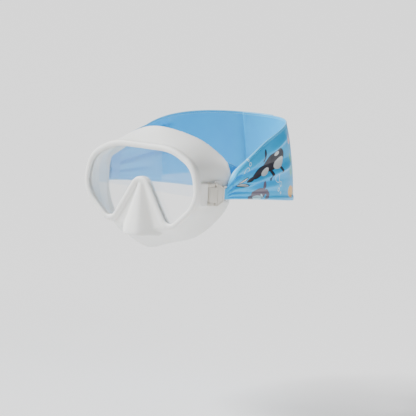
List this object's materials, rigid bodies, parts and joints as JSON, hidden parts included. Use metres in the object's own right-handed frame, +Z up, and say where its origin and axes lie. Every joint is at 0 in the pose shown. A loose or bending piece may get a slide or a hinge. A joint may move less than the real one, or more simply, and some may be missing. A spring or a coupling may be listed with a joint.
{
  "type": "diving mask",
  "caption": "Frameless single-lens diving mask with a silicone face skirt, a nose pocket, hinged side buckles with push buttons and a wide gathered fabric head strap.",
  "frame": {"origin": "middle of the face opening, on the mirror plane, level with the buckles", "axes": "+X towards the wearer's left, +Y from the lens towards the back of the head, +Z up"},
  "size_m": [0.178, 0.23, 0.129],
  "materials": {
    "skirt_silicone": "soft matte white silicone",
    "lens_glass": "clear tempered glass",
    "buckle_plastic": "fine matte ivory moulding",
    "white_plastic": "fine matte white moulding",
    "pin_steel": "drawn stainless steel",
    "strap_fabric": "smooth printed stretch knit",
    "lining_fabric": "smooth dyed stretch knit",
    "hook_tape": "hook tape",
    "loop_tape": "loop tape"
  },
  "bodies": {
    "mask": {"skirt": "skirt_silicone", "lens": "lens_glass", "anchor_left": "buckle_plastic", "anchor_right": "buckle_plastic", "hinge_pin_left": "pin_steel", "hinge_pin_right": "pin_steel"},
    "buckle_left": {"buckle_body_left": "buckle_plastic", "buckle_cover_left": "white_plastic", "button_spring_left": "pin_steel", "strap_tongue_left": "white_plastic", "strap_bar_left": "pin_steel", "strap_left": "strap_fabric", "strap_lining_left": "lining_fabric", "loop_pad": "loop_tape"},
    "buckle_right": {"buckle_body_right": "buckle_plastic", "buckle_cover_right": "white_plastic", "button_spring_right": "pin_steel", "strap_tongue_right": "white_plastic", "strap_bar_right": "pin_steel", "strap_right": "strap_fabric", "strap_lining_right": "lining_fabric", "hook_pad": "hook_tape"},
    "button_left": {"release_button_left": "buckle_plastic"},
    "button_right": {"release_button_right": "buckle_plastic"}
  },
  "joints": [
    {"name": "buckle_left_hinge", "type": "hinge", "parent": "mask", "child": "buckle_left", "pos_m": [0.0748, -0.0124, 0], "axis": [0, 0, -1], "range_deg": [0, 30], "deforming": ["loop_pad"]},
    {"name": "buckle_right_hinge", "type": "hinge", "parent": "mask", "child": "buckle_right", "pos_m": [-0.0748, -0.0124, 0], "axis": [0, 0, 1], "range_deg": [0, 30], "deforming": ["hook_pad"]},
    {"name": "button_left_push", "type": "slide", "parent": "buckle_left", "child": "button_left", "axis": [-0.9703, 0.2419, 0], "range_m": [0, 0.0008], "stiffness_N_per_m": 400, "springref_m": -0.001, "deforming": ["button_spring_left"]},
    {"name": "button_right_push", "type": "slide", "parent": "buckle_right", "child": "button_right", "axis": [0.9703, 0.2419, 0], "range_m": [0, 0.0008], "stiffness_N_per_m": 400, "springref_m": -0.001, "deforming": ["button_spring_right"]}
  ],
  "couplings": [
    {"joint": "buckle_right_hinge", "follows": "buckle_left_hinge", "ratio": 1}
  ]
}
